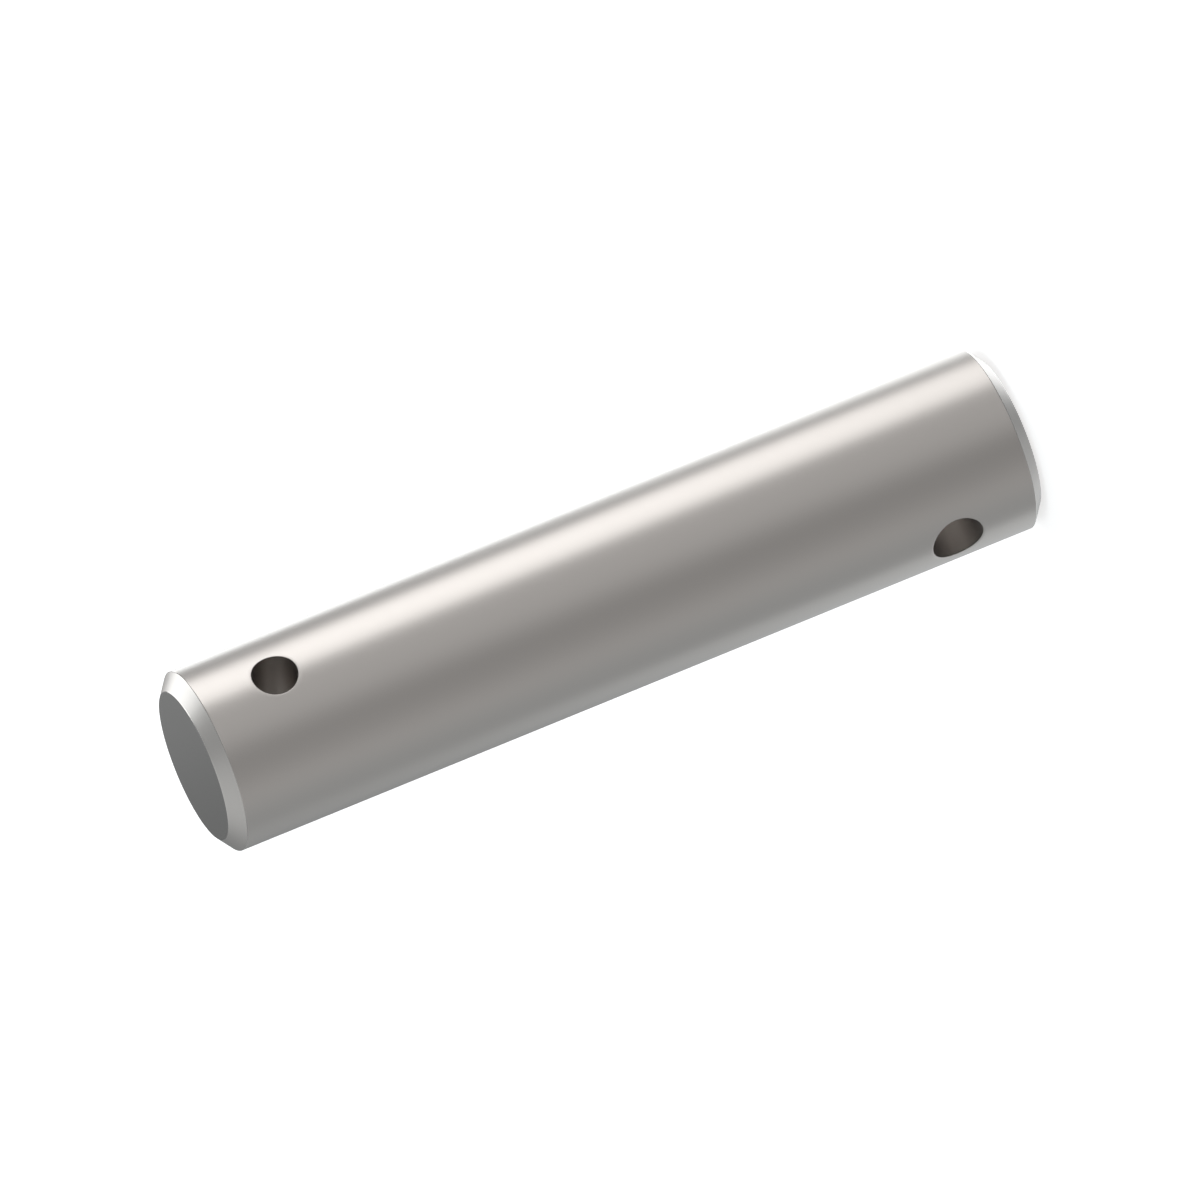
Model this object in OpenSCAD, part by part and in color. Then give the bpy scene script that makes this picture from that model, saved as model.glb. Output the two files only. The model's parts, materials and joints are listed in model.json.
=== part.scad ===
// Headless pin, turned from one bar, with two cross holes at right angles.
// It stands on its lower end: +Z runs up its axis from the middle of the lower face.
// The upper hole is drilled along X and the lower one along Y.

/* [Shank] */
// Diameter of the shank
shank_d = 30; // [20:0.5:60]
// Length over the two end faces
pin_l = 140; // [100:1:300]

/* [End chamfers] */
// Width of each chamfer, measured inwards from the shank on the end face
chamfer_w = 2.65; // [1:0.05:4]
// Run of each chamfer, measured along the shank
chamfer_run = 2.05; // [1:0.05:5]
// Radius that softens both edges of a chamfer
edge_r = 0.2; // [0.1:0.05:0.4]

/* [Cross holes] */
// Diameter of the upper cross hole
upper_hole_d = 7.3; // [4:0.1:12]
// Upper end face to the middle of the upper hole
upper_hole_inset = 14.6; // [12:0.1:40]
// Diameter of the lower cross hole
lower_hole_d = 8.6; // [4:0.1:12]
// Lower end face to the middle of the lower hole
lower_hole_inset = 15.5; // [12:0.1:40]
// Turn about the axis from the upper hole to the lower one
hole_turn = 90; // [0:5:90]

/* [Hidden] */

// Facets round the circles in the preview
$fn = 180;

// How far a drill runs out past the shank on each side
drill_over = 1;

shank_r = shank_d / 2;
face_r = shank_r - chamfer_w;

// Corners of the half section that a chamfer makes, each with its neighbours on the outline
corners = [
    [[0, 0], [face_r, 0], [shank_r, chamfer_run]],
    [[face_r, 0], [shank_r, chamfer_run], [shank_r, pin_l - chamfer_run]],
    [[shank_r, chamfer_run], [shank_r, pin_l - chamfer_run], [face_r, pin_l]],
    [[shank_r, pin_l - chamfer_run], [face_r, pin_l], [0, pin_l]],
];

// Unit vector from one point towards another
function heading(from, to) = (to - from) / norm(to - from);

// What lies outside an arc of edge_r that touches both sides of a corner
module corner_waste(before, corner, after) {
    to_before = heading(corner, before);
    to_after = heading(corner, after);
    inwards = heading([0, 0], to_before + to_after);
    half_angle = acos(inwards * to_after);
    setback = edge_r / tan(half_angle);
    centre = corner + inwards * edge_r / sin(half_angle);
    difference() {
        polygon([
            centre,
            corner + to_before * setback,
            corner - inwards * edge_r,
            corner + to_after * setback,
        ]);
        translate(centre) circle(r = edge_r);
    }
}

// Half of the lengthwise section, with the pin's axis at x = 0
module half_section() {
    difference() {
        polygon([
            [0, 0],
            [face_r, 0],
            [shank_r, chamfer_run],
            [shank_r, pin_l - chamfer_run],
            [face_r, pin_l],
            [0, pin_l],
        ]);
        for (c = corners) corner_waste(c[0], c[1], c[2]);
    }
}

// Drill through the whole shank at a height, turned about the pin's axis from X
module cross_drill(d, height, turn) {
    translate([0, 0, height])
        rotate([0, 90, turn])
            cylinder(d = d, h = shank_d + 2 * drill_over, center = true);
}

module pin() {
    color([0.64, 0.63, 0.62])
        difference() {
            rotate_extrude() half_section();
            cross_drill(upper_hole_d, pin_l - upper_hole_inset, 0);
            cross_drill(lower_hole_d, lower_hole_inset, hole_turn);
        }
}

pin();
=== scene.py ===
import bpy
import json
import math
from mathutils import Matrix, Vector


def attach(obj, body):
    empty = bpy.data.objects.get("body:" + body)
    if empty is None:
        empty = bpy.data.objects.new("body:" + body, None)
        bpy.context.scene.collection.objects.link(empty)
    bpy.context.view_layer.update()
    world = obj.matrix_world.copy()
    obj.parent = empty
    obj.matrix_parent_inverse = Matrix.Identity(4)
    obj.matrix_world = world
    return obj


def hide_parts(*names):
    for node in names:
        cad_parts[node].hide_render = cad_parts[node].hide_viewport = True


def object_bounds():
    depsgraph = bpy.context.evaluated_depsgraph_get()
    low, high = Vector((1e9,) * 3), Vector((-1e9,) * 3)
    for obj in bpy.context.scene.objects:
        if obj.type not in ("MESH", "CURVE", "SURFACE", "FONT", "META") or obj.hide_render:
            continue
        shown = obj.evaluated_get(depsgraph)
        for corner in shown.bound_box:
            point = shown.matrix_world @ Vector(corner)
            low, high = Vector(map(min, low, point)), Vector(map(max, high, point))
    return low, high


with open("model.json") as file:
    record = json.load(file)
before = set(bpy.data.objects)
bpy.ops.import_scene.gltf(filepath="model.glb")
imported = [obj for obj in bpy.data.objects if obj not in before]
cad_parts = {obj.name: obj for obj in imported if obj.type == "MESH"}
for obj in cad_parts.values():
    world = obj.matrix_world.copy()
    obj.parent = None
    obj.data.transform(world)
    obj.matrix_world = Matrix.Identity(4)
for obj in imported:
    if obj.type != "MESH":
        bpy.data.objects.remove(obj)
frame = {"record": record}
cadLow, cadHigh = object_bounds()
mounts = {mount["name"]: mount for mount in frame["record"]["mounts"]}
print("frame loaded")


# Small helpers for modelling

def startFresh():
    bpy.ops.object.select_all(action="DESELECT")


def settle(piece):
    bpy.ops.object.transform_apply(location=True, rotation=True, scale=True)
    return piece


def pick(piece, kind, test):
    # kind is "VERT", "EDGE" or "FACE"; leaves the piece in edit mode with only what passes selected
    mesh = piece.data
    bpy.ops.object.mode_set(mode="EDIT")
    bpy.ops.mesh.select_mode(type=kind)
    bpy.ops.mesh.select_all(action="DESELECT")
    bpy.ops.object.mode_set(mode="OBJECT")
    items = {"VERT": mesh.vertices, "EDGE": mesh.edges, "FACE": mesh.polygons}[kind]
    for item in items:
        item.select = test(item)
    bpy.ops.object.mode_set(mode="EDIT")


def pickAll():
    bpy.ops.object.mode_set(mode="EDIT")
    bpy.ops.mesh.select_all(action="SELECT")


def backToObject():
    bpy.ops.object.mode_set(mode="OBJECT")


def edgeEnds(piece, edge):
    return [piece.data.vertices[index].co for index in edge.vertices]


tolerance = {
    "place": 1e-6,               # between places that should be the same
    "rim": 2e-6,                 # between a mouth's points and the true round of its bore
    "merge": 1e-7,               # between points that become one
}


def nearly(a, b):
    return abs(a - b) < tolerance["place"]


# The pin, turned and cross-drilled

pinShape = {
    "radius": (cadHigh.x - cadLow.x) / 2,
    "length": cadHigh.z - cadLow.z,
    "chamferWidth": 0.00265,     # inwards on the end face
    "chamferRun": 0.00205,       # along the shank
    "edgeRadius": 0.0002,        # both edges of a chamfer
    "rimBreak": 0.0001,          # mouths of the cross holes
    "sides": 192,
    "skinSides": 1536,           # of the round that mouths and patches are carried onto
    "windowSides": 32,           # sides of the shank that a hole's window takes
    "boreOverhang": 0.001,       # of a bore wall past the shank, before its ends are carried back
    "shortEdge": 0.25,           # of the radius; longer edges run along the whole shank
    "edgeSteps": 3,
    "rimSteps": 3,
    "ringsRoundHole": 7,
    "smoothBelow": math.radians(42),
}


def crossHole(mountName):
    mount = mounts[mountName]
    return {
        "radius": mount["dims"]["r_mm"] / 1000,
        "centre": Vector(mount["pos_m"]),
        "axis": Vector(mount["axis"]),
    }


crossHoles = [crossHole("upper_cross_hole"), crossHole("lower_cross_hole")]


def onRim(point):
    # Whether a point of the shank's skin lies on the mouth of a cross hole
    for hole in crossHoles:
        offset = point - hole["centre"]
        fromBoreAxis = (offset - hole["axis"] * offset.dot(hole["axis"])).length
        if abs(fromBoreAxis - hole["radius"]) < tolerance["rim"]:
            return True
    return False


def isShort(ends):
    return (ends[0] - ends[1]).length < pinShape["shortEdge"] * pinShape["radius"]


def turnedBlank():
    shape = pinShape
    startFresh()
    bpy.ops.mesh.primitive_cylinder_add(
        vertices=shape["sides"], radius=shape["radius"],
        depth=shape["length"] - 2 * shape["chamferRun"],
        location=(0, 0, shape["length"] / 2), end_fill_type="NGON")
    blank = settle(bpy.context.object)
    blank.name = "crossDrilledPin"
    shrink = (shape["radius"] - shape["chamferWidth"]) / shape["radius"]
    levelEnough = 0.9
    for up in (1, -1):
        pick(blank, "FACE", lambda face: face.normal.z * up > levelEnough)
        step = (0, 0, up * shape["chamferRun"])
        bpy.ops.mesh.extrude_region_move(TRANSFORM_OT_translate={"value": step})
        endCentre = (0, 0, shape["length"] if up > 0 else 0)
        bpy.ops.transform.resize(value=(shrink, shrink, 1), center_override=endCentre)
        backToObject()
    return blank


def softenChamfers(blank):
    shape = pinShape
    lean = math.atan2(shape["chamferWidth"], shape["chamferRun"])
    faceRadius = shape["radius"] - shape["chamferWidth"]
    for ringRadius, turn in ((shape["radius"], lean), (faceRadius, math.pi / 2 - lean)):
        def onRing(edge):
            ends = edgeEnds(blank, edge)
            level = nearly(ends[0].z, ends[1].z)
            return level and all(nearly(end.xy.length, ringRadius) for end in ends)
        pick(blank, "EDGE", onRing)
        setback = shape["edgeRadius"] * math.tan(turn / 2)
        bpy.ops.mesh.bevel(offset_type="OFFSET", offset=setback, segments=shape["edgeSteps"],
                           profile=0.5, affect="EDGES")
        backToObject()


def windowHalf():
    # Half of a window's width, as an angle about the pin's axis and as a height
    angle = math.pi * pinShape["windowSides"] / pinShape["sides"]
    return angle, angle * pinShape["radius"]


def openWindows(blank, hole):
    halfAngle, halfHeight = windowHalf()
    rows = pinShape["windowSides"]
    for row in range(rows + 1):
        height = hole["centre"].z + halfHeight * (2 * row / rows - 1)
        pickAll()
        bpy.ops.mesh.bisect(plane_co=(0, 0, height), plane_no=(0, 0, 1))
        backToObject()
    cosHalf = math.cos(halfAngle)

    def inWindow(face):
        middle = face.center
        besideAxis = abs(middle.dot(hole["axis"])) > cosHalf * middle.xy.length
        return abs(middle.z - hole["centre"].z) < halfHeight and besideAxis
    pick(blank, "FACE", inWindow)
    bpy.ops.mesh.delete(type="FACE")
    backToObject()


def boreWall(hole, skin):
    # A tube whose open ends are carried onto the shank, with as many sides as its window's border has
    shape = pinShape
    alongX = abs(hole["axis"].x) > abs(hole["axis"].y)
    startFresh()
    bpy.ops.mesh.primitive_cylinder_add(
        vertices=4 * shape["windowSides"], radius=hole["radius"],
        depth=2 * (shape["radius"] + shape["boreOverhang"]), end_fill_type="NOTHING",
        location=hole["centre"], rotation=hole["axis"].to_track_quat("Z", "Y").to_euler())
    wall = settle(bpy.context.object)
    carry = wall.modifiers.new("carryMouths", "SHRINKWRAP")
    carry.target = skin
    carry.wrap_method = "PROJECT"
    carry.use_project_x = alongX
    carry.use_project_y = not alongX
    carry.use_positive_direction = True
    carry.use_negative_direction = True
    bpy.ops.object.modifier_apply(modifier=carry.name)
    return wall


def roundSkin():
    # The clean round that mouths and patches are carried onto; it is deleted afterwards
    startFresh()
    bpy.ops.mesh.primitive_cylinder_add(
        vertices=pinShape["skinSides"], radius=pinShape["radius"],
        depth=pinShape["length"], location=(0, 0, pinShape["length"] / 2))
    return settle(bpy.context.object)


def joinInto(piece, others):
    startFresh()
    for other in others:
        other.select_set(True)
    piece.select_set(True)
    bpy.context.view_layer.objects.active = piece
    bpy.ops.object.join()


def closeMouth(pin, hole, side):
    # Bridges one mouth's rim to its window
    halfAngle, halfHeight = windowHalf()
    outward = hole["axis"] * side
    windowEdge = math.cos(halfAngle) * pinShape["radius"]
    isOpen = openEdges(pin)

    def openEdge(edge):
        ends = edgeEnds(pin, edge)
        outside = all(end.dot(outward) > windowEdge - tolerance["place"] for end in ends)
        atHole = abs(ends[0].z - hole["centre"].z) < halfHeight + tolerance["place"]
        return isOpen[edge.index] and isShort(ends) and outside and atHole
    pick(pin, "EDGE", openEdge)
    bpy.ops.mesh.bridge_edge_loops(number_cuts=pinShape["ringsRoundHole"])
    backToObject()


def openEdges(pin):
    uses = [0] * len(pin.data.edges)
    for face in pin.data.polygons:
        for loop in face.loop_indices:
            uses[pin.data.loops[loop].edge_index] += 1
    return [count == 1 for count in uses]


def carryPatches(pin, skin):
    _, halfHeight = windowHalf()

    def inPatch(place):
        reach = halfHeight + tolerance["place"]
        atHole = any(abs(place.z - hole["centre"].z) < reach for hole in crossHoles)
        return atHole and not onRim(place)
    group = pin.vertex_groups.new(name="patches")
    group.add([v.index for v in pin.data.vertices if inPatch(v.co)], 1.0, "REPLACE")
    startFresh()
    pin.select_set(True)
    bpy.context.view_layer.objects.active = pin
    carry = pin.modifiers.new("carryPatches", "SHRINKWRAP")
    carry.target = skin
    carry.wrap_method = "NEAREST_SURFACEPOINT"
    carry.vertex_group = group.name
    bpy.ops.object.modifier_apply(modifier=carry.name)
    pin.vertex_groups.clear()


def breakRims(pin):
    def alongRim(edge):
        ends = edgeEnds(pin, edge)
        return isShort(ends) and all(onRim(end) for end in ends)
    pick(pin, "EDGE", alongRim)
    bpy.ops.mesh.bevel(offset_type="OFFSET", offset=pinShape["rimBreak"],
                       segments=pinShape["rimSteps"], profile=0.5, affect="EDGES")
    backToObject()


def turnFacesOutwards():
    pickAll()
    bpy.ops.mesh.remove_doubles(threshold=tolerance["merge"])
    bpy.ops.mesh.normals_make_consistent(inside=False)
    backToObject()


def finishSurface(pin):
    startFresh()
    pin.select_set(True)
    bpy.context.view_layer.objects.active = pin
    bpy.ops.object.shade_smooth_by_angle(angle=pinShape["smoothBelow"])
    weigh = pin.modifiers.new("weighNormals", "WEIGHTED_NORMAL")
    weigh.mode = "FACE_AREA"
    weigh.weight = 100           # the largest faces set the normals by themselves
    weigh.keep_sharp = True
    bpy.ops.object.modifier_apply(modifier=weigh.name)


def makePin():
    skin = roundSkin()
    pin = turnedBlank()
    softenChamfers(pin)
    for hole in crossHoles:
        openWindows(pin, hole)
    joinInto(pin, [boreWall(hole, skin) for hole in crossHoles])
    for hole in crossHoles:
        for side in (1, -1):
            closeMouth(pin, hole, side)
    carryPatches(pin, skin)
    turnFacesOutwards()
    breakRims(pin)
    finishSurface(pin)
    bpy.data.objects.remove(skin)
    print("pin modelled with", len(pin.data.polygons), "faces")
    return pin


pin = makePin()
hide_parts("pin")
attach(pin, "root")


# Shader helpers

class Wire:
    # A socket that takes part in sums
    def __init__(self, sheet, socket):
        self.sheet = sheet
        self.socket = socket

    def math(self, operation, *values):
        inputs = dict(enumerate(values))
        return self.sheet.add("Math", {"operation": operation}, inputs)

    def __add__(self, other):
        return self.math("ADD", self, other)

    def __sub__(self, other):
        return self.math("SUBTRACT", self, other)

    def __rsub__(self, other):
        return self.math("SUBTRACT", other, self)

    def __mul__(self, other):
        return self.math("MULTIPLY", self, other)

    def __truediv__(self, other):
        return self.math("DIVIDE", self, other)

    def __pow__(self, other):
        return self.math("POWER", self, other)

    __radd__ = __add__
    __rmul__ = __mul__


class Sheet:
    # One material's or world's node tree
    def __init__(self, tree):
        self.tree = tree
        tree.nodes.clear()

    def add(self, kind, settings=None, inputs=None, output=0):
        node = self.tree.nodes.new("ShaderNode" + kind)
        for name, value in (settings or {}).items():
            if name == "stops":
                self.setStops(node.color_ramp.elements, value)
            else:
                setattr(node, name, value)
        for name, value in (inputs or {}).items():
            if isinstance(value, Wire):
                self.tree.links.new(value.socket, node.inputs[name])
            else:
                node.inputs[name].default_value = value
        return Wire(self, node.outputs[output])

    def setStops(self, elements, stops):
        # stops are pairs of a place from 0 to 1 and a colour
        elements.remove(elements[1])
        elements[0].position, elements[0].color = stops[0]
        for place, colour in stops[1:]:
            elements.new(place).color = colour

    def smooth(self, value, low, high):
        # 0 at low and 1 at high, eased between them
        settings = {"interpolation_type": "SMOOTHSTEP"}
        return self.add("MapRange", settings, {"Value": value, "From Min": low, "From Max": high})

    def dot(self, one, other):
        return self.add("VectorMath", {"operation": "DOT_PRODUCT"}, {0: one, 1: other}, output="Value")

    def mixColours(self, share, one, other):
        return self.add("Mix", {"data_type": "RGBA"}, {0: share, 6: one, 7: other}, output=2)

    def finish(self, kind, surface):
        end = self.tree.nodes.new("ShaderNodeOutput" + kind)
        self.tree.links.new(surface.socket, end.inputs["Surface"])


# Ground steel

steel = {
    "colour": (0.463, 0.44, 0.42, 1),
    "upperBoreColourAndPaintedLight": (0.566, 0.53, 0.504, 1),  # upper bore: the steel's colour lightened above the shank's, as painted light inside the hole
    "lowerBoreColourAndPaintedLight": (0.698, 0.668, 0.645, 1),  # lower bore: the steel's colour lightened further still, as painted light inside the hole
    "shankRoughness": 0.36,
    "faceRoughness": 0.2,
    "edgeRoughness": 0.14,            # edges of the chamfers
    "edgeReach": (0.00008, 0.00013),  # from the ring of an edge, where its polish fades
    "cutBegins": (0.0002, 0.00035),   # under the skin, where chamfers, faces and bores begin
    "boreBegins": (0.0035, 0.0045),   # from an end, past its chamfer
    "faceEnds": (0.00003, 0.00012),   # from an end, where the face gives way to its chamfer
    "halfway": (0.45, 0.55),          # of the length, between the two bores' colours, which carry painted light
    "grindPitch": 0.00022,            # across the ground lines of the shank
    "grindLength": 0.009,             # along them
    "grindDetail": 3.0,
    "turnPitch": 0.00028,             # between the rings that a lathe leaves
    "turnDetail": 2.0,
    "markDepth": 0.0000012,
    "markSheen": 0.03,                # how far the marks move the roughness
}


def steelMaterial():
    material = bpy.data.materials.new("groundSteel")
    material.use_nodes = True
    sheet = Sheet(material.node_tree)
    place = sheet.add("TexCoord", output="Object")
    x, y, z = (sheet.add("SeparateXYZ", None, {0: place}, output=axis) for axis in range(3))
    fromAxis = (x * x + y * y) ** 0.5
    inward = pinShape["radius"] - fromAxis
    fromEnd = z.math("MINIMUM", z, pinShape["length"] - z)
    cut = sheet.smooth(inward, *steel["cutBegins"])
    bore = cut * sheet.smooth(fromEnd, *steel["boreBegins"])
    endFace = 1 - sheet.smooth(fromEnd, *steel["faceEnds"])
    upperHalf = sheet.smooth(z, *(pinShape["length"] * share for share in steel["halfway"]))

    def nearRing(depth, height):
        # 1 along a chamfer's edge, which lies at this depth under the skin and height from the end
        away = ((inward - depth) ** 2 + (fromEnd - height) ** 2) ** 0.5
        return 1 - sheet.smooth(away, *steel["edgeReach"])
    edge = nearRing(0, pinShape["chamferRun"]) + nearRing(pinShape["chamferWidth"], 0)

    grain = (1 / steel["grindLength"],) * 2 + (1 / steel["grindPitch"],)
    alongLines = sheet.add("Mapping", None, {"Vector": place, "Scale": grain})
    ground = sheet.add("TexNoise", None,
                       {"Vector": alongLines, "Scale": 1.0, "Detail": steel["grindDetail"]})
    rings = sheet.add("TexNoise", {"noise_dimensions": "1D"},
                      {"W": fromAxis / steel["turnPitch"], "Scale": 1.0, "Detail": steel["turnDetail"]})
    marks = ground + (rings - ground) * cut

    # both bores are lighter than the shank's steel: painted light inside the holes, more in the lower
    # one
    boreColourAndPaintedLight = sheet.mixColours(upperHalf, steel["lowerBoreColourAndPaintedLight"], steel["upperBoreColourAndPaintedLight"])
    colour = sheet.mixColours(bore, steel["colour"], boreColourAndPaintedLight)
    roughness = (steel["shankRoughness"]
                 + endFace * (steel["faceRoughness"] - steel["shankRoughness"])
                 + (marks - 0.5) * steel["markSheen"])     # noise lies round 0.5
    roughness = roughness + edge * (steel["edgeRoughness"] - roughness)
    relief = sheet.add("Bump", None,
                       {"Height": marks, "Strength": 1.0, "Distance": steel["markDepth"]})
    surface = sheet.add("BsdfPrincipled", None, {
        "Base Color": colour, "Roughness": roughness, "Metallic": 1.0, "Normal": relief})
    sheet.finish("Material", surface)
    return material


pin.data.materials.clear()
pin.data.materials.append(steelMaterial())
print("steel applied")


# Camera, placed as the photograph was taken: square on, with no perspective

photo = {
    "size": 1200,                      # pixels across the picture
    "pinDiameter": 193.5,              # pixels across the shank
    "axisSlope": math.radians(22.21),  # right-hand end up
    "axisTowardsUs": math.radians(13.4),
    "turn": math.radians(-34.3),       # bearing from the pin to the camera, from +X
    "distance": 0.6,                   # from the pin's middle, in metres
}


def makeCamera():
    up = Vector((0, 0, 1))
    facing = Vector((math.cos(photo["turn"]), math.sin(photo["turn"]), 0))
    across = up.cross(facing)
    near, slope = photo["axisTowardsUs"], photo["axisSlope"]
    back = math.sin(near) * up + math.cos(near) * facing
    leftAlong = math.cos(near) * up - math.sin(near) * facing
    right = -math.cos(slope) * leftAlong - math.sin(slope) * across
    above = -math.sin(slope) * leftAlong + math.cos(slope) * across
    startFresh()
    bpy.ops.object.camera_add()
    camera = bpy.context.object
    centre = (cadLow + cadHigh) / 2
    turn = Matrix((right, above, back)).transposed().to_4x4()
    camera.matrix_world = Matrix.Translation(centre + photo["distance"] * back) @ turn
    camera.data.type = "ORTHO"
    camera.data.ortho_scale = 2 * pinShape["radius"] * photo["size"] / photo["pinDiameter"]
    bpy.context.scene.camera = camera
    return facing, across


facing, across = makeCamera()
print("camera placed")


# Floor and light

floorLook = {
    "size": 4.0,
    "colour": (0.9, 0.9, 0.9, 1),
    "lift": 0.55,                # what the camera sees on top of the light that falls on it
}


def makeFloor():
    startFresh()
    bpy.ops.mesh.primitive_plane_add(size=floorLook["size"])
    floor = settle(bpy.context.object)
    floor.name = "floor"
    material = bpy.data.materials.new("paleFloor")
    material.use_nodes = True
    sheet = Sheet(material.node_tree)
    white = sheet.add("BsdfDiffuse", None, {"Color": floorLook["colour"]})
    lift = sheet.add("Emission", None, {"Strength": floorLook["lift"]})
    both = sheet.add("AddShader", None, {0: white, 1: lift})
    seen = sheet.add("LightPath", output="Is Camera Ray")
    sheet.finish("Material", sheet.add("MixShader", None, {0: seen, 1: white, 2: both}))
    floor.data.materials.append(material)
    floor.visible_glossy = False     # the steel mirrors the room below it, not the floor
    floor.visible_shadow = False     # so that the low panels light the pin too


# Brightness of the room by bearing from the camera, in degrees, at three heights,
# and the two tints of its light
room = {
    "below": {-180: 0.54, -165: 0.81, -120: 0.66, 0: 0.39, 70: 0.31, 120: 0.49, 165: 0.46},
    "level": {-180: 0.19, -155: 0.41, -135: 0.54, -110: 0.5, -85: 0.56, -60: 0.63, -35: 0.46,
              -10: 0.38, 15: 0.71, 40: 0.74, 70: 0.55, 100: 0.53, 130: 0.42, 155: 0.6},
    "above": {-180: 0.69, -135: 0.98, -90: 0.83, 0: 0.45, 60: 0.33, 100: 0.56, 135: 0.62},
    "belowEnds": (-55, -25),     # degrees of rise between which one height gives way to the next
    "aboveBegins": (15, 55),
    "plain": (1.0, 1.0, 1.0),
    "cool": (0.96, 1.0, 1.02),
    "coolBefore": -80,           # bearing up to which the level ring is cool
}


def ringOfRoom(sheet, turn, height):
    ring = sorted(room[height].items())
    stops = []
    for bearing, level in ring + [(180, ring[0][1])]:     # it closes where it began
        cool = height != "level" or bearing < room["coolBefore"] or bearing == 180
        tint = room["cool" if cool else "plain"]
        stops.append((bearing / 360 + 0.5, tuple(level * part for part in tint) + (1,)))
    return sheet.add("ValToRGB", {"stops": stops}, {0: turn})


def makeRoom():
    world = bpy.data.worlds.new("studioRoom")
    bpy.context.scene.world = world
    world.use_nodes = True
    sheet = Sheet(world.node_tree)
    gaze = sheet.add("TexCoord", output="Generated")
    ahead, aside, up = (sheet.dot(gaze, way) for way in (facing, across, (0, 0, 1)))
    turn = aside.math("ARCTAN2", aside, ahead) / (2 * math.pi) + 0.5
    rise = up.math("ARCSINE", up) * (180 / math.pi)
    below, level, above = (ringOfRoom(sheet, turn, height) for height in ("below", "level", "above"))
    lower = sheet.mixColours(sheet.smooth(rise, *room["belowEnds"]), below, level)
    walls = sheet.mixColours(sheet.smooth(rise, *room["aboveBegins"]), lower, above)
    walls = sheet.add("Background", None, {"Color": walls, "Strength": 1.0})
    white = sheet.add("Background", None, {"Color": (1, 1, 1, 1), "Strength": 1.0})
    seen = sheet.add("LightPath", output="Is Camera Ray")
    sheet.finish("World", sheet.add("MixShader", None, {0: seen, 1: walls, 2: white}))


# Soft panels round the pin, each square on to the pin's axis: bearing and half angle in degrees,
# low and high in metres above the floor
panelDistance = 0.8
panels = {
    "keyPanel": {"bearing": 86.2, "halfAngle": 22.1, "low": -0.26, "high": 0.14,
                 "level": 2.21, "tint": "plain"},
    "backPanel": {"bearing": 150.8, "halfAngle": 21, "low": -1.02, "high": -0.15,
                  "level": 2.0, "tint": "cool"},
    "rimPanel": {"bearing": 154.6, "halfAngle": 10.9, "low": -0.17, "high": 0.08,
                 "level": 2.16, "tint": "cool"},
    "sidePanel": {"bearing": 138.5, "halfAngle": 21.8, "low": 0.36, "high": 1.38,
                  "level": 2.2, "tint": "cool"},
    "facePanel": {"bearing": 170, "halfAngle": 10, "low": 0.18, "high": 0.5,
                  "level": 0.14, "tint": "cool"},
    "lowPanel": {"bearing": -143, "halfAngle": 28.8, "low": -0.9, "high": -0.14,
                 "level": 0.56, "tint": "cool"},
    "frontPanel": {"bearing": -15, "halfAngle": 74, "low": -0.11, "high": 0.9,
                   "level": 0.09, "tint": "plain"},
}


def hangPanel(name, panel):
    # level is the panel's own brightness, and tint names one of the room's two
    angle = math.radians(panel["bearing"])
    towards = math.cos(angle) * facing + math.sin(angle) * across
    width = 2 * panelDistance * math.tan(math.radians(panel["halfAngle"]))
    height = panel["high"] - panel["low"]
    startFresh()
    bpy.ops.object.light_add(type="AREA")
    lamp = bpy.context.object
    lamp.name = name
    lamp.location = towards * panelDistance + Vector((0, 0, panel["low"] + height / 2))
    lamp.rotation_euler = towards.to_track_quat("Z", "Y").to_euler()
    lamp.data.shape = "RECTANGLE"
    lamp.data.size = width
    lamp.data.size_y = height
    lamp.data.energy = panel["level"] * math.pi * width * height
    lamp.data.color = room[panel["tint"]]
    lamp.visible_camera = False


makeFloor()
makeRoom()
for name, panel in panels.items():
    hangPanel(name, panel)
print("studio lit")

bpy.context.scene.view_settings.view_transform = "Standard"
